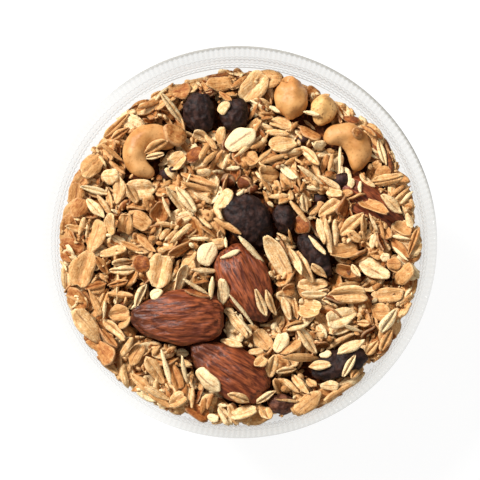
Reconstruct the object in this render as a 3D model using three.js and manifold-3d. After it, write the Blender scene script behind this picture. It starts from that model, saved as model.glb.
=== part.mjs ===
// A bowl of granola, seen mostly from above: a clear thin-walled plastic bowl with a
// finely ribbed rim, filled almost level with toasted oat flakes, whole almonds, cashews,
// dark dried fruit and nut pieces.
//
// Millimetres, +Z up. The origin is the middle of the bowl's underside, which stands on
// z = 0. +X is the right of the picture and +Y its top, so places are given as seen from
// above.

import * as THREE from "three";
import { mergeVertices } from "three/addons/utils/BufferGeometryUtils.js";
import Module from "manifold-3d";

const wasm = await Module();
wasm.setup();

// --- Driving dimensions -----------------------------------------------------------------

// Bowl: a tapered wall up to an inner ledge, a nearly upright collar above it with fine
// ribs all round, and a lip that flares out to the rim.
const BOWL_HEIGHT = 50;
const WALL = 0.7;
const RIM_RADIUS = 49;
const LIP_ROUND = 0.25; // rounding of the rim's edge
const FLARE_HEIGHT = 3.5;
const COLLAR_TOP_RADIUS = 46.4; // inside
const COLLAR_HEIGHT = 4.5;
const LEDGE_RADIUS = 46; // inside, at the foot of the collar
const LEDGE_WIDTH = 0.6;
const LEDGE_DROP = 0.6;
const RIBS = 228;
const RIB_DEPTH = 0.3;
const FOOT_RADIUS = 34.2; // inside of the wall where it meets the foot
const FOOT_WIDTH = 2.6;
const FOOT_CORNER = [0.5, 1.2]; // width and height of the corner between foot and wall
const PANEL_RISE = 1.6; // the middle of the base stands this far off the table
const BOWL_SIDES = 60;

// Granola: how high the heap stands, and the clearance it keeps from its neighbours.
const GAP = 0.35;
const FILL_AT_WALL = 42;
const FILL_DOME = 3; // higher in the middle than at the wall
const FILL_LEAN = 0.9; // higher at the lower left than at the upper right
const FILL_LUMPS = 0.2;
const CORE_SIDES = 36;
const CORE_RINGS = 5;
const FLAKES = 145;
const FLAKE_SIDES = 6;
const FLAKE_LENGTH = [5.6, 9.4];
const FLAKE_WIDTH = [0.6, 0.78]; // as a share of the length
const FLAKE_THICKNESS = [0.9, 1.3];
const FLAKE_CUP = [-0.08, 0.14]; // how far the edges bend up, as a share of the length
const FLAKE_KEEL = 1.6; // how deep a flake is rooted in the heap, in thicknesses
const FLAKE_RISE = [-0.1, 0.9]; // of the middle above the bare heap
const FLAKE_TILT = 62; // steepest, in degrees
const SEED = 20;

// --- Small helpers ----------------------------------------------------------------------

/** Seeded random numbers between 0 and 1. */
function makeRandom(seed) {
  let state = seed;
  return () => {
    state = (state * 1664525 + 1013904223) % 4294967296;
    return state / 4294967296;
  };
}

const between = (random, [low, high]) => low + (high - low) * random();
const radians = THREE.MathUtils.degToRad;

/** A geometry with only positions, its shared vertices merged and no empty triangles. */
function merged(geometry) {
  const bare = geometry.clone();
  bare.deleteAttribute("normal");
  bare.deleteAttribute("uv");
  const joined = mergeVertices(bare, 1e-4);
  const old = joined.index.array;
  const kept = [];
  for (let i = 0; i < old.length; i += 3) {
    const [a, b, c] = [old[i], old[i + 1], old[i + 2]];
    if (a !== b && b !== c && c !== a) kept.push(a, b, c);
  }
  joined.setIndex(kept);
  return joined;
}

/** The solid inside a closed geometry. */
function toSolid(geometry) {
  const shell = merged(geometry);
  return new wasm.Manifold(
    new wasm.Mesh({
      numProp: 3,
      vertProperties: new Float32Array(shell.attributes.position.array),
      triVerts: new Uint32Array(shell.index.array),
    }),
  );
}

/** The geometry of a solid's surface. */
function toGeometry(solid) {
  const mesh = solid.getMesh();
  const geometry = new THREE.BufferGeometry();
  const positions = new THREE.BufferAttribute(mesh.vertProperties, 3);
  geometry.setAttribute("position", positions);
  geometry.setIndex(new THREE.BufferAttribute(mesh.triVerts, 1));
  return geometry;
}

/** A closed solid of revolution about Z, from [radius, height] points in anticlockwise order. */
function turned(points, sides) {
  const profile = points.map(([radius, height]) => new THREE.Vector2(radius, height));
  return new THREE.LatheGeometry(profile, sides).rotateX(Math.PI / 2);
}

/** Moves every vertex to where place(vector) puts it. */
function reshape(geometry, place) {
  const positions = geometry.attributes.position;
  const point = new THREE.Vector3();
  for (let i = 0; i < positions.count; i++) {
    place(point.fromBufferAttribute(positions, i));
    positions.setXYZ(i, point.x, point.y, point.z);
  }
  return geometry;
}

/** The same closed form, larger by gap on every side. */
function inflated(geometry, gap) {
  const shell = merged(geometry);
  shell.computeVertexNormals();
  const { position, normal } = shell.attributes;
  for (let i = 0; i < position.count; i++) {
    position.setXYZ(
      i,
      position.getX(i) + gap * normal.getX(i),
      position.getY(i) + gap * normal.getY(i),
      position.getZ(i) + gap * normal.getZ(i),
    );
  }
  return shell;
}

// --- Bowl -------------------------------------------------------------------------------

const collarTop = BOWL_HEIGHT - FLARE_HEIGHT;
const ledgeTop = collarTop - COLLAR_HEIGHT;
const ledgeBottom = ledgeTop - LEDGE_DROP;
const wallTopRadius = LEDGE_RADIUS - LEDGE_WIDTH;
const footInside = FOOT_RADIUS - FOOT_WIDTH;
const panelEdge = footInside - PANEL_RISE;

/** The inside of the bowl's wall from foot to rim, as [radius, height] points. */
const insideOfWall = [
  [FOOT_RADIUS, WALL + FOOT_CORNER[1]],
  [wallTopRadius, ledgeBottom],
  [LEDGE_RADIUS, ledgeTop],
  [COLLAR_TOP_RADIUS, collarTop],
  [RIM_RADIUS - WALL, BOWL_HEIGHT - LIP_ROUND],
];

/** Radius of the cavity at a height. */
function cavityRadius(height) {
  const top = Math.max(1, insideOfWall.findIndex(([, z]) => z >= height));
  const [lowRadius, low] = insideOfWall[top - 1];
  const [highRadius, high] = insideOfWall[top];
  return THREE.MathUtils.mapLinear(height, low, high, lowRadius, highRadius);
}

/** The clear bowl: a thin turned wall with the ribs of its collar joined on. */
function bowlGeometry() {
  const outside = [
    [0, PANEL_RISE],
    [panelEdge, PANEL_RISE],
    [footInside, 0],
    [FOOT_RADIUS, 0],
    [FOOT_RADIUS + WALL, FOOT_CORNER[1]],
    [wallTopRadius + WALL, ledgeBottom - WALL / 2],
    [LEDGE_RADIUS + WALL, ledgeTop - WALL / 2],
    [COLLAR_TOP_RADIUS + WALL, collarTop - WALL / 2],
    [RIM_RADIUS, BOWL_HEIGHT - WALL],
    [RIM_RADIUS, BOWL_HEIGHT - LIP_ROUND],
    [RIM_RADIUS - LIP_ROUND, BOWL_HEIGHT],
  ];
  const inside = [
    ...[...insideOfWall].reverse(),
    [FOOT_RADIUS - FOOT_CORNER[0], WALL],
    [footInside, WALL],
    [panelEdge, PANEL_RISE + WALL],
    [0, PANEL_RISE + WALL],
  ];
  const wall = turned([...outside, ...inside], BOWL_SIDES);
  return toGeometry(toSolid(wall).add(toSolid(ribbedBand())));
}

/** The band round the collar, with fine upright ribs all round its outside. */
function ribbedBand() {
  const root = COLLAR_TOP_RADIUS + 0.9 * WALL;
  const outline = new THREE.Shape();
  for (let i = 0; i < 2 * RIBS; i++) {
    const angle = (Math.PI * i) / RIBS;
    const radius = i % 2 ? root : root + RIB_DEPTH;
    const [x, y] = [radius * Math.cos(angle), radius * Math.sin(angle)];
    if (i === 0) outline.moveTo(x, y);
    else outline.lineTo(x, y);
  }
  outline.closePath();
  const hole = new THREE.Path();
  hole.absarc(0, 0, COLLAR_TOP_RADIUS + 0.3, 0, 2 * Math.PI, true);
  outline.holes.push(hole);
  const band = new THREE.ExtrudeGeometry(outline, {
    depth: COLLAR_HEIGHT,
    bevelEnabled: false,
    curveSegments: BOWL_SIDES / 2,
  });
  return band.translate(0, 0, ledgeTop + WALL / 2);
}

// --- Toppings ---------------------------------------------------------------------------

/** Height of the bare heap, before flakes lie on it. */
function fillHeight(x, y) {
  const out = (x * x + y * y) / LEDGE_RADIUS ** 2;
  const lean = -(x + y) / Math.SQRT2 / LEDGE_RADIUS;
  const lumps = Math.sin(x / 4.1 + 1) * Math.sin(y / 4.7) + Math.sin((x - y) / 7.3);
  return FILL_AT_WALL + FILL_DOME * (1 - out) + FILL_LEAN * lean + FILL_LUMPS * lumps;
}

/** A nut kernel lying along X, tip to the left: tip and butt set how blunt its ends are. */
function kernelGeometry({ length, width, thickness, tip, butt, rings = 7, sides = 9 }) {
  const swell = (u) => u ** tip * (1 - u) ** butt;
  const widest = swell(tip / (tip + butt));
  const profile = [];
  for (let i = 0; i <= rings; i++) {
    const u = (1 - Math.cos((Math.PI * i) / rings)) / 2;
    profile.push(new THREE.Vector2(swell(u) / widest, u - 0.5));
  }
  const geometry = new THREE.LatheGeometry(profile, sides);
  return geometry.rotateZ(-Math.PI / 2).scale(length, width / 2, thickness / 2);
}

/** A cashew: a kernel bent into an arc in the XY plane, open towards -Y. */
function cashewGeometry({ radius, sweep, width, thickness }) {
  const length = radius * radians(sweep) + 0.7 * width;
  const ends = { tip: 0.4, butt: 0.34, rings: 12, sides: 8 };
  const straight = kernelGeometry({ length, width, thickness, ...ends });
  return reshape(straight, (point) => {
    const angle = point.x / radius;
    const out = radius + point.y;
    point.set(out * Math.sin(angle), out * Math.cos(angle), point.z);
  });
}

/** A dried fruit or nut piece: a rounded lump with seeded dents. */
function lumpGeometry({ length, width, thickness, dents = 0.12, seed = 1 }) {
  const random = makeRandom(seed);
  const waves = Array.from({ length: 3 }, () => 2 * Math.PI * random());
  const ball = merged(new THREE.IcosahedronGeometry(1, 1));
  return reshape(ball, (point) => {
    const dent =
      Math.sin(3.1 * point.x + waves[0]) +
      Math.sin(3.7 * point.y + waves[1]) +
      Math.sin(2.9 * point.z + waves[2]);
    point.multiplyScalar(1 + (dents * dent) / 3);
    point.set((point.x * length) / 2, (point.y * width) / 2, (point.z * thickness) / 2);
  });
}

const skinBrown = { color: 0x7a4530, roughness: 0.45 };
const nutTan = { color: 0xdcab6c, roughness: 0.5 };
const fruitDark = { color: 0x2e2022, roughness: 0.6 };

const almond = { shape: kernelGeometry, tip: 0.62, butt: 0.4, finish: skinBrown };
const cashew = { shape: cashewGeometry, finish: nutTan };
const nut = { shape: lumpGeometry, finish: nutTan };
const fruit = { shape: lumpGeometry, finish: fruitDark };

// Each topping's place on the heap: at [x, y], its middle rise above the bare heap, turned
// by yaw, and leaning by pitch along its length and roll across it, all in degrees.
const toppings = {
  almond_1: {
    ...almond, length: 23.3, width: 13.4, thickness: 8, at: [-15.4, -19.2], rise: 2.6,
    yaw: 0, pitch: -2, roll: 4,
  },
  almond_2: {
    ...almond, length: 21.4, width: 12.4, thickness: 7.6, at: [-2.7, -32], rise: 1.6,
    yaw: -32, pitch: 3, roll: -6,
  },
  almond_3: {
    ...almond, length: 21, width: 12.5, thickness: 7.6, at: [1.9, -10.8], rise: 0.9,
    yaw: 115, pitch: 4, roll: 8,
  },
  almond_4: {
    ...almond, length: 20.5, width: 11.5, thickness: 7.2, at: [33.2, 9.3], rise: -2.1,
    yaw: 145, pitch: 0, roll: -10,
  },
  cashew_1: {
    ...cashew, radius: 4.6, sweep: 200, width: 6.4, thickness: 6.2, at: [-21.8, 22.2],
    rise: 1.4, yaw: 56, pitch: 4, roll: 4,
  },
  cashew_2: {
    ...cashew, radius: 4.4, sweep: 150, width: 6.6, thickness: 6.2, at: [25.9, 23],
    rise: 1.6, yaw: -42, pitch: 6, roll: -4,
  },
  nut_1: {
    ...nut, length: 8.7, width: 11.5, thickness: 7, at: [13, 37], rise: 1.4,
    yaw: 4, pitch: 0, roll: 4, seed: 3,
  },
  nut_2: {
    ...nut, length: 6.1, width: 8.2, thickness: 5, at: [21.2, 33.8], rise: 1.6,
    yaw: -12, pitch: 6, roll: 0, seed: 5,
  },
  dried_fruit_1: {
    ...fruit, length: 8.4, width: 9.9, thickness: 6, at: [-10.2, 33], rise: 1.5,
    yaw: 10, pitch: -5, roll: 5, seed: 7,
  },
  dried_fruit_2: {
    ...fruit, length: 7, width: 8, thickness: 5.6, at: [-1.2, 32.4], rise: 1.3,
    yaw: -20, pitch: 5, roll: 0, seed: 11,
  },
  dried_fruit_3: {
    ...fruit, length: 15, width: 10, thickness: 7, at: [2.3, 5.3], rise: 1.2,
    yaw: -50, pitch: 4, roll: 0, seed: 13,
  },
  dried_fruit_4: {
    ...fruit, length: 5.4, width: 7.4, thickness: 5.4, at: [11.3, 5.8], rise: 1,
    yaw: 12, pitch: 0, roll: 6, seed: 17,
  },
  dried_fruit_5: {
    ...fruit, length: 12.2, width: 6.2, thickness: 5.8, at: [19, -3.3], rise: 0.6,
    yaw: -55, pitch: 0, roll: 0, seed: 19,
  },
  dried_fruit_6: {
    ...fruit, length: 13.8, width: 6.6, thickness: 5.8, at: [24.7, -30.4], rise: 1,
    yaw: 20, pitch: 0, roll: 0, seed: 23,
  },
  dried_fruit_7: {
    ...fruit, length: 6, width: 4.8, thickness: 4.6, at: [10.2, -40.6], rise: 1,
    yaw: 0, pitch: 0, roll: 0, seed: 29,
  },
};

/** The topping as a named mesh, set in its place. */
function toppingMesh(name, topping) {
  const { shape, finish, at, rise, yaw, pitch, roll, ...sizes } = topping;
  const mesh = new THREE.Mesh(merged(shape(sizes)), new THREE.MeshStandardMaterial(finish));
  mesh.name = name;
  mesh.position.set(...at, fillHeight(...at) + rise);
  mesh.rotation.set(radians(roll), radians(pitch), radians(yaw), "ZYX");
  mesh.updateMatrix();
  return mesh;
}

// --- Granola heap -----------------------------------------------------------------------

/** The heap without its flakes: it fills the bowl, clear of the wall, up to fillHeight. */
function coreGeometry() {
  const groove = footInside + GAP * (Math.SQRT2 - 1);
  const floor = PANEL_RISE + WALL + GAP;
  const belowSurface = FILL_AT_WALL - 4 * FILL_LEAN;
  const underside = [
    [0, floor],
    [groove - PANEL_RISE, floor],
    [groove, WALL + GAP],
    [FOOT_RADIUS - FOOT_CORNER[0] - GAP, WALL + GAP],
    [FOOT_RADIUS - GAP, WALL + FOOT_CORNER[1] + GAP],
    [cavityRadius(belowSurface) - GAP, belowSurface],
  ];
  const surface = [];
  for (let i = 0; i <= CORE_RINGS; i++) {
    surface.push([LEDGE_RADIUS * (1 - i / CORE_RINGS), BOWL_HEIGHT]);
  }
  return reshape(turned([...underside, ...surface], CORE_SIDES), (point) => {
    if (point.z < BOWL_HEIGHT - 1e-3) return;
    point.z = fillHeight(point.x, point.y);
    const radius = Math.min(wallTopRadius, cavityRadius(point.z)) - GAP;
    point.setX((point.x * radius) / LEDGE_RADIUS).setY((point.y * radius) / LEDGE_RADIUS);
  });
}

/** Where flakes may be: inside the bowl, clear of its wall. */
function roomGeometry() {
  const wall = insideOfWall.map(([radius, height]) => [radius - GAP, height]);
  const above = BOWL_HEIGHT + FLARE_HEIGHT;
  return turned(
    [[0, wall[0][1]], ...wall, [wall.at(-1)[0], above], [0, above]],
    BOWL_SIDES,
  );
}

/** One rolled oat with few sides: an uneven oval disc, cupped or arched. */
function flakeGeometry(length, width, thickness, cup, random) {
  const disc = turned([[0, -FLAKE_KEEL], [1, 0.1], [0, 0.35]], FLAKE_SIDES);
  const [lobe, ear] = [2 * Math.PI * random(), 2 * Math.PI * random()];
  return reshape(disc, (point) => {
    const angle = Math.atan2(point.y, point.x);
    const edge = 1 + 0.1 * Math.sin(2 * angle + lobe) + 0.08 * Math.sin(3 * angle + ear);
    const [along, across] = [point.x * edge, point.y * edge];
    const lift = cup * length * (0.4 * along * along + 0.6 * across * across);
    point.set((along * length) / 2, (across * width) / 2, point.z * thickness + lift);
  });
}

/** A flake turned by yaw and tilted, its middle at [x, y] and rise above the bare heap. */
function placedFlake({ length, width, thickness, cup, tilt, yaw, at, rise }, random) {
  const turn = new THREE.Euler(radians(tilt), 0, radians(yaw), "ZYX");
  const place = new THREE.Matrix4().makeRotationFromEuler(turn);
  place.setPosition(...at, fillHeight(...at) + rise);
  return flakeGeometry(length, width, thickness, cup, random).applyMatrix4(place);
}

/** True where the middle of a flake would lie inside a topping, seen from above. */
function onTopping(x, y) {
  return Object.values(toppings).some(({ at, yaw, length, width, radius }) => {
    const spot = new THREE.Vector2(x - at[0], y - at[1]);
    if (radius) return Math.abs(spot.length() - radius) < width / 2;
    spot.rotateAround(new THREE.Vector2(), -radians(yaw));
    return (2 * spot.x / length) ** 2 + (2 * spot.y / width) ** 2 < 1;
  });
}

// Flakes that stand out in the picture: two that lean up on the collar, the large curled
// one across the half-buried almond, the pale one against almond_2, a big creased one at the
// right and the broad one at the left.
const largeFlakes = [
  { length: 9.9, width: 6.2, at: [-38.2, -20.2], rise: 1.9, tilt: -38, yaw: -52 },
  { length: 8.4, width: 5.4, at: [-34.2, -28], rise: 1.9, tilt: -38, yaw: -50 },
  { length: 10, width: 7.4, at: [30.6, 5.2], rise: 1.4, tilt: 20, yaw: -38 },
  { length: 7.7, width: 5.2, at: [-8.6, -35.4], rise: 1.6, tilt: 24, yaw: -28 },
  { length: 8, width: 6.4, at: [33.5, -7.4], rise: 0.5, tilt: 10, yaw: 10 },
  { length: 9, width: 6.6, at: [-29, 2.4], rise: 0.5, tilt: 12, yaw: 60 },
].map((flake) => ({ ...flake, thickness: FLAKE_THICKNESS[1], cup: 0.04 }));

/** Flakes spread evenly over the heap along a sunflower spiral, largest first. */
function scatteredFlakes(random) {
  const goldenAngle = Math.PI * (3 - Math.sqrt(5));
  const reach = LEDGE_RADIUS - 2.4;
  const flakes = [];
  for (let i = 0; i < FLAKES; i++) {
    const size = 1 - ((i * 0.618034) % 1);
    const length = THREE.MathUtils.lerp(...FLAKE_LENGTH, size * size);
    const out = reach * Math.sqrt((i + 0.5) / FLAKES);
    const turn = i * goldenAngle + 0.05 * (random() - 0.5);
    const tilt = FLAKE_TILT * (2 * random() - 1) * Math.sqrt(random());
    const stand = 0.2 * length * Math.abs(Math.sin(radians(tilt)));
    flakes.push({
      length,
      width: length * between(random, FLAKE_WIDTH),
      thickness: between(random, FLAKE_THICKNESS),
      cup: between(random, FLAKE_CUP),
      tilt,
      yaw: 360 * random(),
      at: [out * Math.cos(turn), out * Math.sin(turn)],
      rise: stand + between(random, FLAKE_RISE),
    });
  }
  return flakes.filter(({ at }) => !onTopping(...at));
}

/** The heap out to its flakes, with a pocket round each topping. */
function granolaGeometry(toppingMeshes) {
  const random = makeRandom(SEED);
  const flakes = [...largeFlakes, ...scatteredFlakes(random)];
  let heap = toSolid(coreGeometry());
  for (const flake of flakes) heap = heap.add(toSolid(placedFlake(flake, random)));
  heap = heap.intersect(toSolid(roomGeometry()).add(toSolid(coreGeometry())));
  for (const { geometry, matrix } of toppingMeshes) {
    const pocket = inflated(geometry.clone().applyMatrix4(matrix), GAP);
    heap = heap.subtract(toSolid(pocket));
  }
  const bodies = heap.decompose().sort((a, b) => b.volume() - a.volume());
  return toGeometry(bodies[0]);
}

// --- The whole --------------------------------------------------------------------------

const clearPlastic = new THREE.MeshStandardMaterial({
  color: 0xeef0ee, roughness: 0.1, transparent: true, opacity: 0.3,
});
const toastedOat = new THREE.MeshStandardMaterial({ color: 0xd9a362, roughness: 0.8 });

const bowl = new THREE.Mesh(bowlGeometry(), clearPlastic);
bowl.name = "bowl";

const toppingMeshes = Object.entries(toppings).map(([name, topping]) =>
  toppingMesh(name, topping),
);

const granola = new THREE.Mesh(granolaGeometry(toppingMeshes), toastedOat);
granola.name = "granola";

const bowlOfGranola = new THREE.Group();
bowlOfGranola.add(bowl, granola, ...toppingMeshes);

export default bowlOfGranola;
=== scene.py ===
# %% [markdown]
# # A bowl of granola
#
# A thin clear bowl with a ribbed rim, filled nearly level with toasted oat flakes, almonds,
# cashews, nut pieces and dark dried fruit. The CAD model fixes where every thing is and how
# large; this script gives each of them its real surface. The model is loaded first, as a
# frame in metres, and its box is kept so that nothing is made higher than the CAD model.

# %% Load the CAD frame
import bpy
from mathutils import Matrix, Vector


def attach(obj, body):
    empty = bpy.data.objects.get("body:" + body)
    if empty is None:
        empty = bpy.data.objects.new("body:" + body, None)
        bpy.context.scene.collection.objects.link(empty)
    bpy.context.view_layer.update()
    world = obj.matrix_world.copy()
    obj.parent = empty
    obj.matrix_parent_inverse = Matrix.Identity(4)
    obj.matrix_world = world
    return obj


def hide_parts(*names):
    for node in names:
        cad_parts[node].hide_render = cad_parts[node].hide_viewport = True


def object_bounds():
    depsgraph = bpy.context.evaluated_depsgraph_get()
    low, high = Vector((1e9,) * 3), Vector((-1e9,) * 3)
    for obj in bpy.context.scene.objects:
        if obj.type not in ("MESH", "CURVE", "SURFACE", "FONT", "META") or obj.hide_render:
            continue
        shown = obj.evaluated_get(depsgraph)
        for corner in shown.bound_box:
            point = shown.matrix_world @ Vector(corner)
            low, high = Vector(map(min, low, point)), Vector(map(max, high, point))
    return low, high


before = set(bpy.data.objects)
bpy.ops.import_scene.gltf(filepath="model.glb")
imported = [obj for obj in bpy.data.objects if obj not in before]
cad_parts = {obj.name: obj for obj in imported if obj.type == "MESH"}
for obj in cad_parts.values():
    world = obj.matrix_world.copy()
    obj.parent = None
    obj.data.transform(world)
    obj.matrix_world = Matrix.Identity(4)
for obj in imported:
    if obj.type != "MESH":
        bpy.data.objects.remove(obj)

cad_box = [list(corner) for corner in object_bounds()]
print("CAD nodes:", sorted(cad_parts))

# %% Modules, units and seeded chance
from math import cos, pi, radians, sin

import bmesh
import bpy
import numpy as np
from mathutils import Euler, Matrix, Vector, noise

MM = 0.001  # sizes below are in millimetres and become metres when a piece is finished
chance = np.random.default_rng(11)

# %% [markdown]
# ## Materials as Python expressions
#
# A material is a tree of nodes. Writing `1 - mask * 0.5` is easier to read than wiring three
# Math nodes, so a small class wraps a socket and lets Python's operators add those nodes.
# `Finish.add` makes every other node: first its settings, then its sockets.


# %% Sockets that can be calculated with
class Wire:
    """An output socket; each operator on it adds one Math node."""

    def __init__(self, finish, socket):
        self.finish, self.socket = finish, socket

    def math(self, operation, *values):
        return self.finish.add("Math", {"operation": operation}, dict(enumerate(values)))

    def __add__(self, other):
        return self.math("ADD", self, other)

    def __sub__(self, other):
        return self.math("SUBTRACT", self, other)

    def __rsub__(self, other):
        return self.math("SUBTRACT", other, self)

    def __mul__(self, other):
        return self.math("MULTIPLY", self, other)

    def __pow__(self, other):
        return self.math("POWER", self, other)

    def __abs__(self):
        return self.math("ABSOLUTE", self)

    __radd__ = __add__
    __rmul__ = __mul__


# %% Finishes made of nodes
def colour(code):
    """A Blender colour from the usual six hex digits."""
    parts = [int(code[i : i + 2], 16) / 255 for i in (1, 3, 5)]
    return (*[p / 12.92 if p < 0.04045 else ((p + 0.055) / 1.055) ** 2.4 for p in parts], 1)


class Finish:
    """A material whose nodes are added one call at a time."""

    def __init__(self, name):
        self.material = bpy.data.materials.new(name)
        self.material.use_nodes = True
        self.tree = self.material.node_tree
        self.tree.nodes.clear()

    def add(self, kind, settings=None, inputs=None, out=0):
        """Adds a node; its stops are a ramp's [position, colour] pairs."""
        node = self.tree.nodes.new("ShaderNode" + kind)
        for key, value in (settings or {}).items():
            if key == "stops":
                elements = node.color_ramp.elements
                while len(elements) < len(value):
                    elements.new(1)
                for element, (position, code) in zip(elements, value):
                    element.position, element.color = position, colour(code)
            else:
                setattr(node, key, value)
        for key, value in (inputs or {}).items():
            if isinstance(value, Wire):
                self.tree.links.new(value.socket, node.inputs[key])
            else:
                node.inputs[key].default_value = value
        return Wire(self, node.outputs[out]) if node.outputs else None

    def noise(self, place, scale, detail=2, roughness=0.5):
        """Cloudy noise from 0 to 1, scale in lumps for each metre."""
        sockets = {"Vector": place, "Scale": scale, "Detail": detail, "Roughness": roughness}
        return self.add("TexNoise", None, sockets, "Fac")

    def fade(self, value, low, high):
        """0 below low, 1 above high (or the reverse), smooth in between."""
        settings = {"interpolation_type": "SMOOTHSTEP"}
        sockets = {"Value": value, "From Min": low, "From Max": high}
        return self.add("MapRange", settings, sockets)

    def mix(self, factor, first, second, blend="MIX"):
        """The first colour turning into the second as the factor rises."""
        settings = {"data_type": "RGBA", "blend_type": blend}
        return self.add("Mix", settings, {0: factor, 6: first, 7: second}, out=2)

    def place(self):
        """Where a point is in the object, in metres."""
        return self.add("TexCoord", out="Object")

    def own(self, name):
        """A vector that a piece's own points carry, as (vector, x, y, z)."""
        vector = self.add("Attribute", {"attribute_name": name}, out="Vector")
        parts = [self.add("SeparateXYZ", None, {0: vector}, out=axis) for axis in range(3)]
        return vector, *parts

    def close(self, shader):
        self.add("OutputMaterial", None, {"Surface": shader})
        return self.material

    def surface(self, tone, roughness, gloss, height, strength, depth):
        """Ends the material in an opaque body with relief, its depth in metres."""
        relief = {"Height": height, "Strength": strength, "Distance": depth}
        sockets = {
            "Base Color": tone,
            "Roughness": roughness,
            "Specular IOR Level": gloss,
            "Normal": self.add("Bump", None, relief),
        }
        return self.close(self.add("BsdfPrincipled", None, sockets))


# %% Finishing a piece
def keep(bm, name, material, slot, *nodes):
    """Turns a bmesh in millimetres into a piece that rides on the body and replaces nodes."""
    bmesh.ops.scale(bm, vec=(MM, MM, MM), verts=bm.verts)
    mesh = bpy.data.meshes.new(name)
    bm.to_mesh(mesh)
    bm.free()
    return finish_piece(mesh, name, material, slot, *nodes)


def finish_piece(mesh, name, material, slot, *nodes):
    mesh.materials.append(material)
    mesh.shade_smooth()
    piece = bpy.data.objects.new(name, mesh)
    bpy.context.scene.collection.objects.link(piece)
    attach(piece, "root")
    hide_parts(*nodes)
    mesh.calc_loop_triangles()
    print(f"{name}: {len(mesh.loop_triangles)} triangles")
    return piece


# %% [markdown]
# ## The bowl
#
# The real bowl is one sheet of clear plastic, pressed over a mould: a foot ring, a tapered
# wall, a small ledge, a nearly upright collar and a lip that flares out. Fine upright ribs
# stiffen collar and lip. Booleans on solids could cut all that, but a profile spun about the
# axis gives it in one go. The ribs are then a wave in the radius, on the inside and the
# outside alike, as in a pressed sheet.

# %% The bowl's profile
HEIGHT, WALL = 50, 0.7
RIM, LIP_ROUND, FLARE = 49, 0.25, 3.5
COLLAR_TOP, COLLAR = 46.4, 4.5  # inside radius, height
LEDGE, LEDGE_WIDTH, LEDGE_DROP = 46, 0.6, 0.6
FOOT, FOOT_WIDTH, FOOT_CORNER, PANEL_RISE = 34.2, 2.6, (0.5, 1.2), 1.6
RIBS, RIB_DEPTH = 228, 0.3

collar_top = HEIGHT - FLARE
ledge_top = collar_top - COLLAR
ledge_bottom = ledge_top - LEDGE_DROP
wall_top = LEDGE - LEDGE_WIDTH
foot_inside = FOOT - FOOT_WIDTH
inside_wall = [
    (FOOT - FOOT_CORNER[0], WALL),
    (FOOT, WALL + FOOT_CORNER[1]),
    (wall_top, ledge_bottom),
    (LEDGE, ledge_top),
    (COLLAR_TOP, collar_top),
    (RIM - WALL, HEIGHT - LIP_ROUND),
]


def cavity_radius(height):
    """Inside radius of the wall at a height, or at an array of heights."""
    return np.interp(height, [z for _, z in inside_wall], [r for r, _ in inside_wall])


# The outline again with a mark for each corner: how dark a line of painted shade it gets.
# Light that runs along the sheet leaves it at a sharp bend, so a bend looks darker than the
# flat parts, and the finish paints that darker line on as grey.
outside_wall = [
    (FOOT, 0, 0.5),
    (FOOT + WALL, FOOT_CORNER[1], 0.3),
    (wall_top + WALL, ledge_bottom - WALL / 2, 0.2),
    (LEDGE + WALL, ledge_top - WALL / 2, 0.5),
    (COLLAR_TOP + WALL, collar_top - WALL / 2, 0.25),
    (RIM, HEIGHT - WALL, 0.6),
    (RIM, HEIGHT - LIP_ROUND, 1),
    (RIM - LIP_ROUND, HEIGHT, 1),
]
base_outside = [
    (0, PANEL_RISE, 0),
    (foot_inside - PANEL_RISE, PANEL_RISE, 0.3),
    (foot_inside, 0, 0.5),
]
base_inside = [
    (foot_inside, WALL, 0.3),
    (foot_inside - PANEL_RISE, PANEL_RISE + WALL, 0.3),
    (0, PANEL_RISE + WALL, 0),
]
inside_marks = [0.3, 0.3, 0.7, 0.4, 0.9, 0.1]
marked = [(r, z, mark) for (r, z), mark in zip(inside_wall, inside_marks)]
LINE_REACH = 0.28  # how far a corner's line fades out along the sheet


def with_lines(corners, reach):
    """The outline with a plain point close to each side of every corner that has a mark."""
    line = [corners[0]]
    for (r0, z0, _), (r1, z1, mark) in zip(corners, corners[1:]):
        length = np.hypot(r1 - r0, z1 - z0)
        if length > 3 * reach:
            for along in (reach / length, 1 - reach / length):
                line.append((r0 + (r1 - r0) * along, z0 + (z1 - z0) * along, 0))
        line.append((r1, z1, mark))
    return line


profile = with_lines([*base_outside, *outside_wall, *reversed(marked), *base_inside], LINE_REACH)


# %% Spin the profile
def spun(bm, line, steps, closest):
    """Spins the points of a profile once about the axis, and closes it at its poles."""
    for a, b in zip(line, line[1:]):
        bm.edges.new((a, b))
    bmesh.ops.spin(
        bm,
        geom=bm.verts[:] + bm.edges[:],
        cent=(0, 0, 0),
        axis=(0, 0, 1),
        angle=2 * pi,
        steps=steps,
        use_merge=True,
    )
    bmesh.ops.remove_doubles(bm, verts=bm.verts, dist=closest)
    bmesh.ops.dissolve_degenerate(bm, edges=bm.edges, dist=closest)
    bmesh.ops.recalc_face_normals(bm, faces=bm.faces)


bm = bmesh.new()
look = bm.verts.layers.float_vector.new("plastic")
corners = []
for r, z, mark in profile:
    corners.append(bm.verts.new((r, 0, z)))
    corners[-1][look] = (mark, 0, 0)
spun(bm, corners, steps=4 * RIBS, closest=1e-4)
print("points of the spun bowl:", len(bm.verts))
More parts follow.
